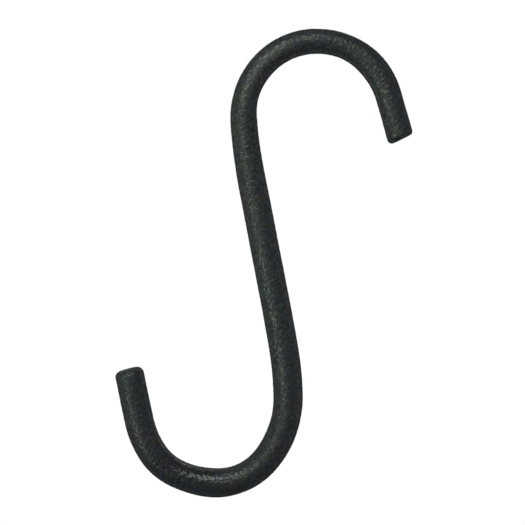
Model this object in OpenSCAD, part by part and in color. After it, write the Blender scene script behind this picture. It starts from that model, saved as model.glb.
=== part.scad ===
// S hook, bent from one length of round steel bar and coated matt black.
// It stands in the XZ plane as it hangs in use: the load line, from the seat inside the upper
// hook to the seat inside the lower one, is the Z axis, and the upper seat is the origin.
// The upper hook opens downwards on the +X side, the lower hook upwards on the -X side.
// Bend radii are to the middle of the bar. Everything is in millimetres and degrees.

/* [Bar] */
// Diameter of the bar along the shank and the lower hook, coat included
bar_d = 7; // [6:0.1:8]
// Diameter round the upper hook, where the bar was drawn thinner as it was pulled round
upper_d = 6.4; // [5.6:0.1:7]
// Length of the shank over which the bar grows from the thin diameter to the full one
draw_l = 14; // [6:1:30]

/* [Upper hook] */
// Straight length of the upper tip, to the middle of its cut face
upper_tip_l = 11.5; // [6:0.5:20]
// Radius of the upper bend
upper_r = 18; // [15:0.5:24]
// Angle that the upper bend goes round
upper_turn = 167; // [155:1:172]
// Radius of the easy bend that runs on into the shank
neck_r = 100; // [60:5:140]
// Angle of that easy bend
neck_turn = 8; // [4:1:12]

/* [Shank] */
// Straight length of the shank between the two hooks
shank_l = 41.5; // [35:0.5:80]

/* [Lower hook] */
// Radius where the shank begins to turn into the lower hook
entry_r = 80; // [50:5:120]
// Angle of that first easy turn
entry_turn = 9; // [4:1:12]
// Radius of the shoulder, on the shank side
shoulder_r = 25; // [20:0.5:30]
// Angle of the shoulder
shoulder_turn = 40; // [35:1:45]
// Radius of the tight bend before the seat
heel_r = 15.5; // [14:0.5:20]
// Angle of the tight bend before the seat
heel_turn = 53; // [48:1:58]
// Radius of the flatter stretch that the load hangs on
seat_r = 22.5; // [18:0.5:26]
// Angle of the seat
seat_turn = 26; // [22:1:30]
// Radius of the tight bend past the seat
toe_r = 14.5; // [13:0.5:20]
// Angle of the tight bend past the seat
toe_turn = 29; // [25:1:33]
// Radius where the hook straightens into its tip
exit_r = 23.5; // [18:0.5:28]
// Angle of that last turn
exit_turn = 22; // [18:1:26]
// Straight length of the lower tip, to the middle of its cut face
lower_tip_l = 12.5; // [6:0.5:20]

/* [Cut ends] */
// Radius of the dulled edge round each cut face
end_round = 0.9; // [0.4:0.1:1.4]
// How far the upper tip is sheared off square, long on the inner side
upper_skew = 10; // [0:1:15]
// How far the lower tip is sheared off square, long on the inner side
lower_skew = 5; // [0:1:15]
// How far the lower tip's face leans to the front
lower_lean = 3; // [0:1:10]

/* [Hidden] */

$fn = 64;

// How much thinner in diameter every other stretch is, and how far it laps into its neighbours
hair = 0.02;
lap = 0.2;

// A stretch of bar is [straight length, bend radius, turn, diameter at its start, at its end].
// A bend has no length and a straight no radius. A turn to the left is positive.
function straight(l, d0, d1) = [l, 0, 0, d0, d1];
function bend(r, turn, d) = [0, r, turn, d, d];

PATH = [
    straight(upper_tip_l, upper_d, upper_d),
    bend(upper_r, upper_turn, upper_d),
    bend(neck_r, neck_turn, upper_d),
    straight(draw_l, upper_d, bar_d),
    straight(shank_l - draw_l, bar_d, bar_d),
    bend(entry_r, -entry_turn, bar_d),
    bend(shoulder_r, -shoulder_turn, bar_d),
    bend(heel_r, -heel_turn, bar_d),
    bend(seat_r, -seat_turn, bar_d),
    bend(toe_r, -toe_turn, bar_d),
    bend(exit_r, -exit_turn, bar_d),
    straight(lower_tip_l, bar_d, bar_d)
];
LAST = len(PATH) - 1;
UPPER_BEND = 1;
LOWER_SEAT = 8;

// Signed radius: the centre of a bend lies this far to the left of its start
function side_r(s) = sign(s[2]) * s[1];
// Point p of a stretch's own plane, seen from a stretch that starts at q = [x, y, heading]
function placed(q, p) = [
    q[0] + p[0] * cos(q[2]) - p[1] * sin(q[2]),
    q[1] + p[0] * sin(q[2]) + p[1] * cos(q[2])
];
// Where a stretch ends, in its own plane: it starts at the origin and heads along +X
function stretch_end(s) = s[1] == 0 ? [s[0], 0] : [
    side_r(s) * sin(s[2]),
    side_r(s) * (1 - cos(s[2]))
];
// Where stretch i starts, as [x, y, heading], walking from the upper tip
function start_of(i) = i == 0 ? [0, 0, 0] :
    let (q = start_of(i - 1), s = PATH[i - 1], p = placed(q, stretch_end(s)))
    [p[0], p[1], q[2] + s[2]];
// Centre of bend i
function centre_of(i) = placed(start_of(i), [0, side_r(PATH[i])]);

// The load line joins the centres of the two bends that carry the seats
upper_centre = centre_of(UPPER_BEND);
load_line = centre_of(LOWER_SEAT) - upper_centre;
// Turn that brings the load line down along -Z, and the inside of the upper bend
upright = -90 - atan2(load_line[1], load_line[0]);
upper_inside = upper_r - upper_d / 2;

// Every other stretch is a hair thinner and runs a short lap into both its neighbours, so the
// stretches join through one another and never surface on surface.
function is_thin(i) = i % 2 == 1;
function hair_of(i) = is_thin(i) ? hair : 0;
function lap_of(i) = is_thin(i) ? lap : 0;

// Stretch i of the bar, from the origin along +X
module stretch(i) {
    s = PATH[i];
    if (s[1] == 0)
        translate([-lap_of(i), 0, 0])
            rotate([0, 90, 0])
                cylinder(h = s[0] + 2 * lap_of(i), d1 = s[3] - hair_of(i), d2 = s[4] - hair_of(i));
    else {
        side = sign(s[2]);
        lap_turn = lap_of(i) / s[1] * 180 / PI;
        translate([0, side_r(s), 0])
            rotate_extrude(angle = s[2] + 2 * side * lap_turn, start = -side * (90 + lap_turn))
                translate([s[1], 0])
                    circle(d = s[3] - hair_of(i));
    }
}

// Carries its children from the start of a stretch to its end
module past(s) {
    translate([s[0], side_r(s), 0])
        rotate([0, 0, s[2]])
            translate([0, -side_r(s), 0])
                children();
}

// The space that a cut end has to lie in: a flat face at the origin with a rounded rim that
// clears the bar all round, open to the full width behind the rim
module end_form(l, d, skew, lean) {
    rim_r = d / 2 / cos(max(skew, lean)) + 0.03;
    rotate([0, lean, skew])
        rotate([0, 90, 0])
            rotate_extrude() {
                square([rim_r - end_round, end_round]);
                translate([rim_r - end_round, end_round])
                    intersection() {
                        circle(r = end_round);
                        translate([0, -end_round])
                            square([end_round, end_round]);
                    }
                translate([0, end_round])
                    square([2 * d, l]);
            }
}

// A straight tip that starts at its sheared and dulled face and runs along +X
module tip(l, d, skew, lean) {
    overrun = d / 2;
    intersection() {
        translate([-overrun, 0, 0])
            rotate([0, 90, 0])
                cylinder(h = l + overrun, d = d);
        end_form(2 * l, d, skew, lean);
    }
}

// The bar from stretch i to the lower tip, from the origin along +X
module bar_from(i) {
    if (i == 0)
        tip(upper_tip_l, upper_d, upper_skew, 0);
    else if (i == LAST)
        translate([lower_tip_l, 0, 0])
            rotate([0, 0, 180])
                tip(lower_tip_l + lap_of(i), bar_d - hair_of(i), lower_skew, lower_lean);
    else
        stretch(i);
    if (i < LAST)
        past(PATH[i])
            bar_from(i + 1);
}

module hook() {
    color([0.19, 0.21, 0.2])
        translate([0, 0, -upper_inside])
            rotate([90, 0, 0])
                rotate([0, 0, upright])
                    translate([-upper_centre[0], -upper_centre[1], 0])
                        bar_from(0);
}

hook();
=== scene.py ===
"""S hook of round steel bar, bent by hand and coated in a textured matt black.

The bar is followed in millimetres from the upper tip to the lower one, as a chain of straight
stretches and bends in one plane, and its skin is a grid swept along that chain. The finished
mesh is in metres, in the frame of the CAD part: the upper seat is the origin, the load hangs
down along -Z, and the hook lies in the XZ plane with its front towards -Y.
"""

import math

import bpy
import numpy as np
from mathutils import Matrix, Vector


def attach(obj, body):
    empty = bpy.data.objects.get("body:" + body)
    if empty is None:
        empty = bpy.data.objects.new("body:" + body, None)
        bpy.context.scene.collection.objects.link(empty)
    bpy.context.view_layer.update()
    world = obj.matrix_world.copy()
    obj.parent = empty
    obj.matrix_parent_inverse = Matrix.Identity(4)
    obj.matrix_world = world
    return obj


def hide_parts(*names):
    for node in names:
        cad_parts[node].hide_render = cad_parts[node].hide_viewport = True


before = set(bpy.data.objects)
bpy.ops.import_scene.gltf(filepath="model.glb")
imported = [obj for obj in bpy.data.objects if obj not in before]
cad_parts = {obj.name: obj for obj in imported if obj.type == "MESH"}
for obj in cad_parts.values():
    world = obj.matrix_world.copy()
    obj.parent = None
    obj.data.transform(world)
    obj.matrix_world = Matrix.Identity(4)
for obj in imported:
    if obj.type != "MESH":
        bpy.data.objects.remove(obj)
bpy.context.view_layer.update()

MM = 0.001


def placed(name, data):
    """A new object of that name, with that data, in the scene."""
    made = bpy.data.objects.new(name, data)
    bpy.context.scene.collection.objects.link(made)
    return made


# ---------------------------------------------------------------- the bar, in millimetres


def straight(length):
    """A straight stretch: its length, and no turn."""
    return length, 0.0


def bend(radius, turn):
    """A bend of that radius to the middle of the bar: the length of its arc, and its turn in
    radians, positive to the left."""
    return radius * math.radians(abs(turn)), math.radians(turn)


STRETCHES = {
    "upper tip": straight(11.3),
    "upper bend": bend(18, 167),
    "neck": bend(100, 8),
    "shank": straight(41.5),
    "entry": bend(80, -9),
    "shoulder": bend(25, -40),
    "heel": bend(15.5, -53),
    "seat": bend(22.5, -26),
    "toe": bend(14.5, -29),
    "exit": bend(23.5, -22),
    "lower tip": straight(12.6),
}
NAMES = list(STRETCHES)
LENGTHS, TURNS = np.array(list(STRETCHES.values())).T
BAR_LENGTH = LENGTHS.sum()
UPPER_INSIDE = 14.8  # radius of the seat inside the upper bend

# Radius of the bar at a few places, by the distance from the upper tip: drawn thinner round
# the upper bend, full below the neck
GAUGE_AT = np.array([0, 9, 17, 30, 57, 67, 84, 115, 127, 140, 156, 165, 172, 182])
GAUGE = np.array(
    [3.24, 3.22, 3.32, 3.04, 3.10, 3.33, 3.5, 3.54, 3.60, 3.56, 3.43, 3.54, 3.43, 3.54]
)

# How far the bar wanders off its true line at a few places, towards the right as one goes
WANDER_AT = np.array([0, 8, 16, 28, 42, 62, 78, 112, 128, 140, 165, 190])
WANDER = np.array([0.0, 0.0, -0.07, 0.02, 0.11, 0.13, 0.02, -0.05, 0.05, -0.02, 0.13, 0.01])

# Cut ends: how far off square and how far leaning to the front, in degrees
UPPER_CUT = (10.5, 0)
LOWER_CUT = (3, 3)
# Radius of the dulled edge round a cut face, and how much larger it is on the inner side of the
# hook than at its middle, and smaller outside
UPPER_EDGE = (1.05, 0.30)
LOWER_EDGE = (1.50, 0.15)

# The grid of the skin
RING_STEP = 0.24  # from ring to ring along the bar
AROUND = 92  # points in a ring
FACE_RINGS = 13  # on the flat of a cut face
EDGE_RINGS = 10  # on the dulled edge round it
TIP_LENGTH = 10.0  # over which the rings' slant fades away from a cut


def starts_of_stretches():
    """Where each stretch starts: the heading is the sum of the turns before it, and the place
    is the sum of the chords before it, each laid along its own mean heading."""
    heading = np.concatenate([[0.0], np.cumsum(TURNS)])
    chord = LENGTHS * np.sinc(TURNS / 2 / np.pi)
    along = heading[:-1] + TURNS / 2
    place = np.cumsum([[0.0, 0.0], *np.stack([chord * np.cos(along), chord * np.sin(along)], 1)], 0)
    return place, heading


PLACES, HEADINGS = starts_of_stretches()


def centre_of(name):
    """Centre of a bend: its radius to the left of where it starts, a right turn being negative."""
    i = NAMES.index(name)
    radius, heading = LENGTHS[i] / TURNS[i], HEADINGS[i]
    return PLACES[i] + radius * np.array([-np.sin(heading), np.cos(heading)])


def hanging():
    """The turn that brings the line between the two seats' centres down along -Z, as a 2 by 2
    matrix, and the centre of the upper bend, which comes to lie straight under the origin."""
    upper, lower = centre_of("upper bend"), centre_of("seat")
    down = (lower - upper) / np.linalg.norm(lower - upper)
    return np.array([[-down[1], down[0]], [-down[0], -down[1]]]), upper


def bar_line(s):
    """Middle of the bar, its direction and its left side at distances s from the upper tip, as
    points of the XZ plane. Inside a stretch the chord from its start is the distance times
    sinc(half the turn so far), laid at the heading plus half the turn so far. The bar's wander
    then moves it to the right."""
    i = np.clip(np.searchsorted(np.cumsum(LENGTHS), s), 0, len(LENGTHS) - 1)
    begun = s - (np.cumsum(LENGTHS) - LENGTHS)[i]
    turned = begun * (TURNS / LENGTHS)[i]
    chord, along = begun * np.sinc(turned / 2 / np.pi), HEADINGS[i] + turned / 2
    place = PLACES[i] + np.stack([chord * np.cos(along), chord * np.sin(along)], -1)
    heading = HEADINGS[i] + turned
    ahead = np.stack([np.cos(heading), np.sin(heading)], -1)
    left = np.stack([-np.sin(heading), np.cos(heading)], -1)
    place -= eased_between(s, WANDER_AT, WANDER)[..., None] * left
    turn, upper = hanging()
    middle = (place - upper) @ turn.T - [0, UPPER_INSIDE]
    return middle, ahead @ turn.T, left @ turn.T


def eased_between(s, places, values):
    """Values at distances s from the upper tip: between two named places they ease from one
    value to the next along half a cosine wave."""
    i = np.clip(np.searchsorted(places, s) - 1, 0, len(places) - 2)
    part = np.clip((s - places[i]) / (places[i + 1] - places[i]), 0, 1)
    return values[i] + (values[i + 1] - values[i]) * (1 - np.cos(np.pi * part)) / 2


def end_rings(radius, around, inner, cut, edge):
    """A cut end, from the middle of its face outwards, as three grids: how far each point lies
    behind the face along the bar, its distance from the middle line, and the angle by which the
    surface has turned from facing along the bar to facing outwards.

    The face is flat out to the bar's radius less the edge radius. The edge is then a quarter
    circle. Its radius is the first of the two edge values, plus the second times the cosine of
    the angle from the hook's inner side. A skewed and leaning cut slides each point along the
    bar in proportion to its distance towards the inner side and towards the front."""
    edge = (edge[0] + edge[1] * np.cos(around) * inner)[None, :]
    flat = np.linspace(0, 1, FACE_RINGS + 1)[1:, None] * (radius - edge)
    bent = np.linspace(0, np.pi / 2, EDGE_RINGS + 1)[1:, None]
    out = np.concatenate([flat, radius - edge + edge * np.sin(bent)])
    behind = np.concatenate([np.zeros_like(flat), edge * (1 - np.cos(bent))])
    facing = np.concatenate([np.zeros(FACE_RINGS), bent[:, 0]])[:, None] + 0 * around
    return behind + slide(out, around, inner, cut), out, facing


def slide(out, around, inner, cut):
    """How far a skewed and leaning cut moves a point along the bar, away from the face."""
    skew, lean = np.tan(np.radians(cut))
    return lean * out * np.sin(around) - skew * out * np.cos(around) * inner


# ---------------------------------------------------------------- the coat's own relief

# Ripples: the shortest and longest of them in millimetres, how many there are, and their seed
GRAIN_RIPPLES = (0.68, 1.20, 260, 7)
SLOW_RIPPLES = (7.0, 15.0, 40, 11)
HELPINGS = 12  # they are added in this many helpings, to spare memory
GRAIN_HEIGHT = 0.024  # of the leathery grain of the coat
GRAIN_SQUASH, GRAIN_LIFT = 1.1, 0.35  # how firmly its ripples are squashed, and how far upwards
SLOW_HEIGHT = 0.015  # of the slow unevenness of a bar bent and coated by hand


def ripples(points, shortest, longest, count, seed):
    """A random relief of unit size at points in millimetres: the sum of many plane waves, each
    with its own direction in space, a wavelength between the two given ones and a random
    phase, divided by the root of half their number. Being a function of place alone, it runs
    without a seam round the bar and over its ends."""
    rng = np.random.default_rng(seed)
    way = rng.normal(size=(count, 3))
    way /= np.linalg.norm(way, axis=1)[:, None]
    length = shortest * (longest / shortest) ** rng.random(count)
    phase = rng.random(count) * 2 * np.pi
    waves = (2 * np.pi / length)[:, None] * way
    total = np.zeros(len(points))
    for part in np.array_split(np.arange(count), HELPINGS):
        total += np.cos(points @ waves[part].T + phase[part]).sum(1)
    return total / math.sqrt(count / 2)


def relief(points):
    """Height of the coat over the bar's true form. The grain's ripples are squashed by a tanh,
    so its tops are broad and its hollows narrow, and a slow wave lies under it."""
    grain = np.tanh(GRAIN_SQUASH * ripples(points, *GRAIN_RIPPLES) + GRAIN_LIFT)
    slow = ripples(points, *SLOW_RIPPLES)
    return GRAIN_HEIGHT * grain + SLOW_HEIGHT * slow


# ---------------------------------------------------------------- the skin as a mesh


def in_space(across):
    """Points or directions of the XZ plane, as points or directions in space."""
    return np.stack([across[..., 0], 0 * across[..., 0], across[..., 1]], -1)


def skin_points():
    """The skin's rings of points from one tip to the other, with the middle of each cut face as
    its first and last point, and each point's own way out of the surface.

    Point (ring, around) = middle of the bar + distance out * (cos(around) * left side +
    sin(around) * front). The rings of a cut end come from end_rings, and between them the rings
    go evenly along the bar, slid less and less by the cut over the length of a tip."""
    around = np.arange(AROUND) * 2 * np.pi / AROUND
    head, head_out, head_facing = end_rings(GAUGE[0], around, 1, UPPER_CUT, UPPER_EDGE)
    tail, tail_out, tail_facing = end_rings(GAUGE[-1], around, -1, LOWER_CUT, LOWER_EDGE)

    count = round(BAR_LENGTH / RING_STEP)
    share = np.linspace(0, 1, count + 2)[1:-1, None]
    first, last = head[-1], BAR_LENGTH - tail[-1]
    even = first.mean() + share * (last.mean() - first.mean())
    near_head = np.clip(1 - even / TIP_LENGTH, 0, 1) ** 2
    near_tail = np.clip(1 - (BAR_LENGTH - even) / TIP_LENGTH, 0, 1) ** 2
    s = even + near_head * (first - first.mean()) + near_tail * (last - last.mean())
    body_out = eased_between(s, GAUGE_AT, GAUGE)
    body_facing = np.full_like(s, np.pi / 2)

    s = np.concatenate([head, s, BAR_LENGTH - tail[::-1]])
    out = np.concatenate([head_out, body_out, tail_out[::-1]])
    facing = np.concatenate([head_facing, body_facing, np.pi - tail_facing[::-1]])

    middle, ahead, left = map(in_space, bar_line(s))
    front = np.array([0.0, -1.0, 0.0])
    aside = np.cos(around)[:, None] * left + np.sin(around)[:, None] * front
    points = middle + out[..., None] * aside
    outward = np.sin(facing)[..., None] * aside - np.cos(facing)[..., None] * ahead

    tips, ways, _ = map(in_space, bar_line(np.array([0.0, BAR_LENGTH])))
    points = np.concatenate([tips[:1], points.reshape(-1, 3), tips[1:]])
    outward = np.concatenate([-ways[:1], outward.reshape(-1, 3), ways[1:]])
    rings = len(s)
    return points, outward, rings


def skin_faces(rings):
    """Corner numbers of the skin's faces: squares between neighbouring rings, the last column
    joining the first one, and a fan of triangles round the middle of each cut face."""
    ring, column = np.meshgrid(np.arange(rings - 1), np.arange(AROUND), indexing="ij")
    here, after = 1 + ring * AROUND + column, 1 + ring * AROUND + (column + 1) % AROUND
    squares = np.stack([here, after, after + AROUND, here + AROUND], -1).reshape(-1, 4)
    column = np.arange(AROUND)
    after = (column + 1) % AROUND
    last = 1 + (rings - 1) * AROUND
    head = np.stack([0 * column, 1 + after, 1 + column], -1)
    tail = np.stack([0 * column + last + AROUND, last + column, last + after], -1)
    return squares, np.concatenate([head, tail])


def mesh_of(name, points, squares, triangles):
    """A closed, smooth mesh from whole arrays of points and corner numbers."""
    mesh = bpy.data.meshes.new(name)
    corners = np.concatenate([squares.ravel(), triangles.ravel()]).astype(np.int32)
    sizes = np.concatenate([np.full(len(squares), 4), np.full(len(triangles), 3)])
    mesh.vertices.add(len(points))
    mesh.vertices.foreach_set("co", points.astype(np.float32).ravel())
    mesh.loops.add(len(corners))
    mesh.loops.foreach_set("vertex_index", corners)
    mesh.polygons.add(len(sizes))
    mesh.polygons.foreach_set("loop_start", (np.cumsum(sizes) - sizes).astype(np.int32))
    mesh.polygons.foreach_set("use_smooth", np.ones(len(sizes), bool))
    mesh.update(calc_edges=True)
    mesh.validate()
    return mesh


def make_hook():
    """The whole hook as one closed skin: the swept form, raised by the coat's relief."""
    points, outward, rings = skin_points()
    points = points + relief(points)[:, None] * outward
    return placed("coated_bar", mesh_of("coated_bar", points * MM, *skin_faces(rings)))


# ---------------------------------------------------------------- shader sums


class Field:
    """A number or colour that varies over a surface. Sums, products and the like of fields and
    plain numbers are worked out by Math nodes."""

    def __init__(self, finish, socket):
        self.finish, self.socket = finish, socket

    def maths(self, operation, *values):
        """One Math node on those values."""
        return self.finish.node("ShaderNodeMath", {"operation": operation}, dict(enumerate(values)))

    def __add__(self, other):
        return self.maths("ADD", self, other)

    def __sub__(self, other):
        return self.maths("SUBTRACT", self, other)

    def __rsub__(self, other):
        return self.maths("SUBTRACT", other, self)

    def __mul__(self, other):
        return self.maths("MULTIPLY", self, other)

    __radd__, __rmul__ = __add__, __mul__

    def at_least(self, other):
        """The larger of the two."""
        return self.maths("MAXIMUM", self, other)

    def eased(self, low, high):
        """0 below low, 1 above high, and a smooth step between them."""
        settings = {"interpolation_type": "SMOOTHSTEP"}
        places = {"Value": self, "From Min": low, "From Max": high}
        return self.finish.node("ShaderNodeMapRange", settings, places)


class Finish:
    """A node tree, emptied, with the one way of adding nodes to it."""

    def __init__(self, owner):
        owner.use_nodes = True
        self.tree = owner.node_tree
        self.tree.nodes.clear()

    def node(self, kind, settings=None, places=None, out=0):
        """Adds a node of that kind, sets its settings, then fills its sockets with numbers,
        colours or fields, and gives the field of one of its outputs, named or numbered."""
        made = self.tree.nodes.new(kind)
        for name, value in (settings or {}).items():
            setattr(made, name, value)
        for place, value in (places or {}).items():
            if isinstance(value, Field):
                self.tree.links.new(value.socket, made.inputs[place])
            else:
                made.inputs[place].default_value = value
        return Field(self, made.outputs[out]) if made.outputs else None

    def mixed(self, factor, first, second):
        """A colour between two colours."""
        places = {0: factor, 6: first, 7: second}
        return self.node("ShaderNodeMix", {"data_type": "RGBA"}, places, 2)

    def product(self, first, second):
        """Two colours or places multiplied, channel by channel."""
        return self.node("ShaderNodeVectorMath", {"operation": "MULTIPLY"}, {0: first, 1: second})

    def distance(self, where, spot):
        """How far a place is from a spot that is given in millimetres."""
        places = {0: where, 1: Vector(spot) * MM}
        return self.node("ShaderNodeVectorMath", {"operation": "DISTANCE"}, places, "Value")

    def noise(self, where, size, detail=1.0, rough=0.5):
        """Cloudy noise from 0 to 1 with blotches about that many millimetres across."""
        places = {"Vector": where, "Scale": 0.5 / (size * MM), "Detail": detail, "Roughness": rough}
        return self.node("ShaderNodeTexNoise", {"noise_dimensions": "3D"}, places)


# ---------------------------------------------------------------- the coat

PAINTED_HOLLOW_SHADE = (0.0015, 0.0019, 0.0038, 1)  # painted shade: the coat's hollows, painted darker
DUST_AND_PAINTED_GLINTS = (0.0218, 0.0265, 0.0222, 1)  # the paler tops of its grain: dust, and painted glints
COAT = (0.0078, 0.0098, 0.0092, 1)  # its usual tone
BLUISH = (0.93, 0.95, 1.45, 1)  # its tone swings between these two casts
GREENISH = (1.03, 1.05, 0.66, 1)
REDDISH = (1.24, 0.98, 1.05, 1)  # and between these two
COLD = (0.74, 1.02, 0.95, 1)
GLINT = (0.93, 1.0, 0.91, 1)  # its gloss is faintly green

# Blotches of its noises, in millimetres
CLOUD, CAST, GLOW, GRAIN, SAND = 2.6, 0.9, 1.1, 0.39, 0.18
# Values of a noise between which it swings from one tone to the other
HOLLOW_TO_TOP = (0.38, 0.66)
DUSTY_TO_USUAL = (0.40, 0.62)
CAST_TO_CAST = (0.34, 0.66)
USUAL = 0.5  # share of the usual tone where a cloud is thickest

ROUGH = 0.503  # roughness in a hollow outside the clouds
CLOUD_ROUGHER, TOPS_SMOOTHER = 0.10, 0.22
# Smoother where the load rubs the coat, and in the pale patch of painted highlight on the upper
# bend
RUBBED_SMOOTHER, PAINTED_HIGHLIGHT_SMOOTHER = 0.23, 0.03
ASLANT = (0.30, 0.65)  # how far a surface is turned away where its gloss begins to go, and is gone
ASLANT_ROUGH = 0.9  # its roughness there
BUMP = 0.245 * MM  # height of the grain and sand too fine for the mesh
GRAIN_SHARE, SAND_SHARE = 0.8, 0.2  # of that height
RUBBED_FLATTER = 0.12  # how much lower it is where the coat is rubbed

# The coat is rubbed a little smoother where the load hangs
SEAT = (0, 0, -105.75)
RUBBED = (5 * MM, 15 * MM)  # distances from the seat at which that fades, and is gone

# A painted highlight: a pale patch along the front of the upper bend, which widens the lit band
# there
BEND_MIDDLE = (0, 0, -UPPER_INSIDE)  # the bend goes round this
PAINTED_HIGHLIGHT_IN = (16.6 * MM, 17.4 * MM)  # distances from it at which the painted highlight begins, and is full
PAINTED_HIGHLIGHT_OUT = (18.4 * MM, 19.6 * MM)  # and at which it fades, and is gone
PAINTED_HIGHLIGHT_MIDDLE = (-17.6, -3.2, -9.7)  # the painted highlight's own middle
PAINTED_HIGHLIGHT_LONG = (5 * MM, 12 * MM)  # distances from that at which it fades, and is gone
PAINTED_HIGHLIGHT_TONE = (0.056, 0.061, 0.050, 1)  # the pale tone painted there as a highlight
PAINTED_HIGHLIGHT_LOW, PAINTED_HIGHLIGHT_TOPS = 0.225, 0.675  # its share in the hollows, and how much more on the tops


def coat_finish():
    """Matt black powder coat with a leathery grain: broad soft blotches of tone and polish, a
    grain of blotches two fifths of a millimetre across, its hollows painted darker as painted
    shade and its tops paler with dust and painted glints, a fine sand on top of it, and a faint
    play between a bluish and a greenish black. Seen aslant it loses its gloss. Where the load
    hangs it is rubbed a little smoother, and on the shank's side of the upper bend a pale patch
    along its front is a painted highlight, which widens the lit band there."""
    material = bpy.data.materials.new("sandy_black")
    coat = Finish(material)
    where = coat.node("ShaderNodeTexCoord", out="Object")

    cloud = coat.noise(where, CLOUD, detail=2.0)
    cast = coat.noise(where, CAST)
    glow = coat.noise(where, GLOW)
    grain = coat.noise(where, GRAIN, rough=0.6)
    sand = coat.noise(where, SAND)
    tops = grain.eased(*HOLLOW_TO_TOP)

    # Painted shade in the grain's hollows, and dust with painted glints on its tops
    tone = coat.mixed(tops, PAINTED_HOLLOW_SHADE, DUST_AND_PAINTED_GLINTS)
    tone = coat.mixed(cloud.eased(*DUSTY_TO_USUAL) * USUAL, tone, COAT)
    tone = coat.product(tone, coat.mixed(cast.eased(*CAST_TO_CAST), BLUISH, GREENISH))
    tone = coat.product(tone, coat.mixed(glow.eased(*CAST_TO_CAST), REDDISH, COLD))

    rubbed = 1 - coat.distance(where, SEAT).eased(*RUBBED)
    # A painted highlight: a pale patch along the front of the upper bend's flank
    out_by = coat.distance(coat.product(where, (1, 0, 1)), BEND_MIDDLE)
    painted_highlight = out_by.eased(*PAINTED_HIGHLIGHT_IN) * (1 - out_by.eased(*PAINTED_HIGHLIGHT_OUT))
    painted_highlight = painted_highlight * (1 - coat.distance(where, PAINTED_HIGHLIGHT_MIDDLE).eased(*PAINTED_HIGHLIGHT_LONG))
    tone = coat.mixed(painted_highlight * (PAINTED_HIGHLIGHT_LOW + PAINTED_HIGHLIGHT_TOPS * tops), tone, PAINTED_HIGHLIGHT_TONE)

    aslant = coat.node("ShaderNodeLayerWeight", None, {"Blend": 0.5}, "Facing").eased(*ASLANT)
    rough = ROUGH + CLOUD_ROUGHER * cloud - TOPS_SMOOTHER * tops
    rough = rough - RUBBED_SMOOTHER * rubbed - PAINTED_HIGHLIGHT_SMOOTHER * painted_highlight
    rough = rough * (1 - aslant) + ASLANT_ROUGH * aslant
    height = (grain * GRAIN_SHARE + sand * SAND_SHARE) * (1 - RUBBED_FLATTER * rubbed)
    bump = coat.node("ShaderNodeBump", None, {"Strength": 1.0, "Distance": BUMP, "Height": height})

    shader = coat.node(
        "ShaderNodeBsdfPrincipled",
        None,
        {
            "Base Color": tone,
            "Roughness": rough,
            "Specular IOR Level": 0.5,
            "Specular Tint": GLINT,
            "Normal": bump,
        },
    )
    coat.node("ShaderNodeOutputMaterial", None, {"Surface": shader})
    return material


# ---------------------------------------------------------------- camera, lamps and floor

TILT = math.radians(19.98)  # how far the hook is turned from hanging straight, seen from the front
ACROSS = Vector((math.cos(TILT), 0, math.sin(TILT)))
UP = Vector((-math.sin(TILT), 0, math.cos(TILT)))
NEAR = Vector((0, -1, 0))
AIM = Vector((-0.363, 0, -53.337)) * MM  # the middle of the view
SEEN = 128.5 * MM  # width of the view at the hook
LENS, SENSOR = 100, 36  # focal length, and width of the film
NEAREST, FARTHEST = 0.01, 50  # metres between which the camera sees


def make_camera():
    """Looks level at the hook's flat side, rolled so that the hook stands turned by TILT, from
    the distance at which the view is SEEN wide at the hook."""
    data = bpy.data.cameras.new("camera")
    data.lens, data.sensor_width = LENS, SENSOR
    data.clip_start, data.clip_end = NEAREST, FARTHEST
    camera = placed("camera", data)
    spot = AIM + NEAR * (SEEN * LENS / SENSOR)
    axes = Matrix((ACROSS, UP, NEAR)).transposed()
    camera.matrix_world = Matrix.Translation(spot) @ axes.to_4x4()
    bpy.context.scene.camera = camera


# A lamp: its direction from the hook as right, up and towards the camera; its distance and
# diameter in metres; the light that it gives, which on a surface that faces it is this over
# pi; and its colour
LAMPS = {
    "key_lamp": ((-0.195, 0.596, 0.779), 0.565, 0.396, 1.857, (0.94, 1.0, 0.97)),
    "low_lamp": ((-0.637, -0.255, 0.728), 0.881, 0.085, 0.705, (0.91, 1.0, 0.92)),
    "left_screen": ((-0.951, 0.064, 0.303), 0.552, 1.237, 1.163, (1.0, 1.0, 0.84)),
    "low_screen": ((-0.851, -0.484, 0.204), 0.460, 0.476, 0.176, (1.0, 1.0, 0.85)),
    "right_screen": ((0.984, -0.047, 0.170), 0.660, 1.285, 0.634, (1.06, 1.0, 0.93)),
    "under_lamp": ((-0.336, -0.822, 0.460), 0.135, 0.217, 0.152, (1.04, 1.0, 1.15)),
    "back_lamp": ((0.20, 0.42, -0.885), 0.7, 0.45, 0.60, (1.0, 1.0, 1.0)),
}
WHITE = (1, 1, 1, 1)
ROOM = 0.190  # brightness of the room round the hook, where it isn't seen as white
ROOM_COLOUR = (1.01, 1.0, 1.32, 1)
BACK = (0.35, 0.85)  # how straight back a direction points where that white begins, and is full


def make_lamp(name, way, distance, width, light, colour):
    """A soft round lamp, facing the hook from that direction. A flat lamp spreads its watts
    over pi, and they thin out with the square of the distance."""
    data = bpy.data.lights.new(name, "AREA")
    data.shape, data.size = "DISK", width
    data.energy = light * math.pi * distance**2
    data.color = colour
    lamp = placed(name, data)
    away = (ACROSS * way[0] + UP * way[1] + NEAR * way[2]).normalized()
    axes = away.to_track_quat("Z", "Y").to_matrix().to_4x4()
    lamp.matrix_world = Matrix.Translation(AIM + away * distance) @ axes
    lamp.visible_camera = False


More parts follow.
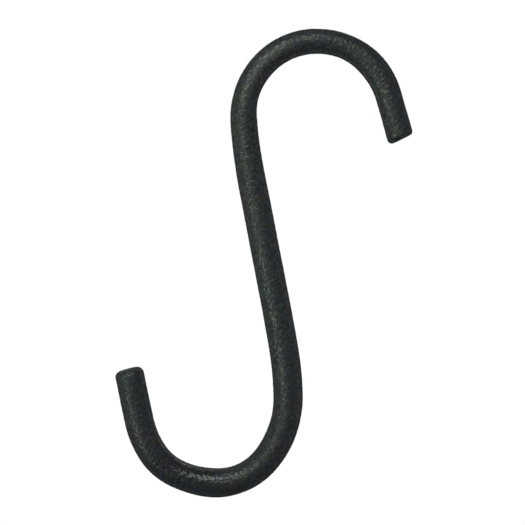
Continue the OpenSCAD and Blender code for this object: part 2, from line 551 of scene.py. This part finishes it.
def seen_as_background(finish, behind):
    """1 for a ray from the camera, and for one from gloss or glass that meets the background
    where behind is 1, which is behind the hook; 0 for the rays that light things."""
    seen, glossy, passing = (
        finish.node("ShaderNodeLightPath", out=f"Is {kind} Ray")
        for kind in ("Camera", "Glossy", "Transmission")
    )
    return seen.at_least(glossy.at_least(passing) * behind)


def make_world():
    """The world is white to the camera. Gloss and glass see the same white where it stands
    behind the hook, and the dim room elsewhere; the room alone lights the hook."""
    world = bpy.data.worlds.new("room")
    bpy.context.scene.world = world
    room = Finish(world)
    way = room.node("ShaderNodeTexCoord", out="Generated")
    behind = room.node("ShaderNodeSeparateXYZ", None, {0: way}, "Y").eased(*BACK)
    white = seen_as_background(room, behind)
    dim = room.node("ShaderNodeBackground", None, {"Color": ROOM_COLOUR, "Strength": ROOM})
    clear = room.node("ShaderNodeBackground", None, {"Color": WHITE, "Strength": 1.0})
    shown = room.node("ShaderNodeMixShader", None, {0: white, 1: dim, 2: clear})
    room.node("ShaderNodeOutputWorld", None, {"Surface": shown})


# The floor, in metres
FLOOR_Z = -0.26
FLOOR_R = 0.42
WHOLE_R = 0.12  # it begins to fade out here, on the way to its rim
BEHIND_TO = 0.25  # from here backwards gloss sees it just as the camera does
FLOOR_COLOUR = (0.244, 0.235, 0.276, 1)  # as it lights the hook from below
PALE = (0.84, 0.86, 0.81, 1)  # as it is seen, with a light of its own on top
FLOOR_GLOW = 0.42


def make_floor():
    """A round pale floor well below the hook, which fades out towards its rim: a grid of rings
    and spokes, closed at its middle."""
    rings, spokes = 24, 96
    far = np.linspace(0, FLOOR_R, rings + 1)[1:, None]
    spoke = np.arange(spokes) * 2 * np.pi / spokes
    x, y = far * np.cos(spoke), far * np.sin(spoke)
    points = np.stack([x, y, np.full_like(x, FLOOR_Z)], -1).reshape(-1, 3)
    points = np.concatenate([[[0, 0, FLOOR_Z]], points])
    ring, column = np.meshgrid(np.arange(rings - 1), np.arange(spokes), indexing="ij")
    here, after = 1 + ring * spokes + column, 1 + ring * spokes + (column + 1) % spokes
    squares = np.stack([here, here + spokes, after + spokes, after], -1).reshape(-1, 4)
    column = np.arange(spokes)
    fan = np.stack([0 * column, 1 + column, 1 + (column + 1) % spokes], -1)
    floor = placed("floor", mesh_of("floor", points, squares, fan))
    floor.data.materials.append(floor_finish())
    return floor


def floor_finish():
    """Pale paper with a light of its own to whatever sees it as background, plain grey to the
    rays that light the hook, and clear towards its rim."""
    material = bpy.data.materials.new("pale_floor")
    paint = Finish(material)
    where = paint.node("ShaderNodeTexCoord", out="Object")
    gone = paint.node("ShaderNodeVectorMath", {"operation": "LENGTH"}, {0: where}, "Value")
    gone = gone.eased(math.hypot(FLOOR_Z, WHOLE_R), math.hypot(FLOOR_Z, FLOOR_R))
    behind = paint.node("ShaderNodeSeparateXYZ", None, {0: where}, "Y").eased(0.0, BEHIND_TO)
    as_background = seen_as_background(paint, behind)
    lighting = paint.node("ShaderNodeBsdfDiffuse", None, {"Color": FLOOR_COLOUR})
    paper = paint.node("ShaderNodeBsdfDiffuse", None, {"Color": PALE})
    glow = paint.node("ShaderNodeEmission", None, {"Color": WHITE, "Strength": FLOOR_GLOW})
    pale = paint.node("ShaderNodeAddShader", None, {0: paper, 1: glow})
    face = paint.node("ShaderNodeMixShader", None, {0: as_background, 1: lighting, 2: pale})
    clear = paint.node("ShaderNodeBsdfTransparent")
    shown = paint.node("ShaderNodeMixShader", None, {0: gone, 1: face, 2: clear})
    paint.node("ShaderNodeOutputMaterial", None, {"Surface": shown})
    return material


# ---------------------------------------------------------------- put together

hook = make_hook()
hook.data.materials.append(coat_finish())
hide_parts("hook")
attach(hook, "root")

make_floor()
make_camera()
for lamp_name, lamp in LAMPS.items():
    make_lamp(lamp_name, *lamp)
make_world()
bpy.context.scene.view_settings.view_transform = "Standard"
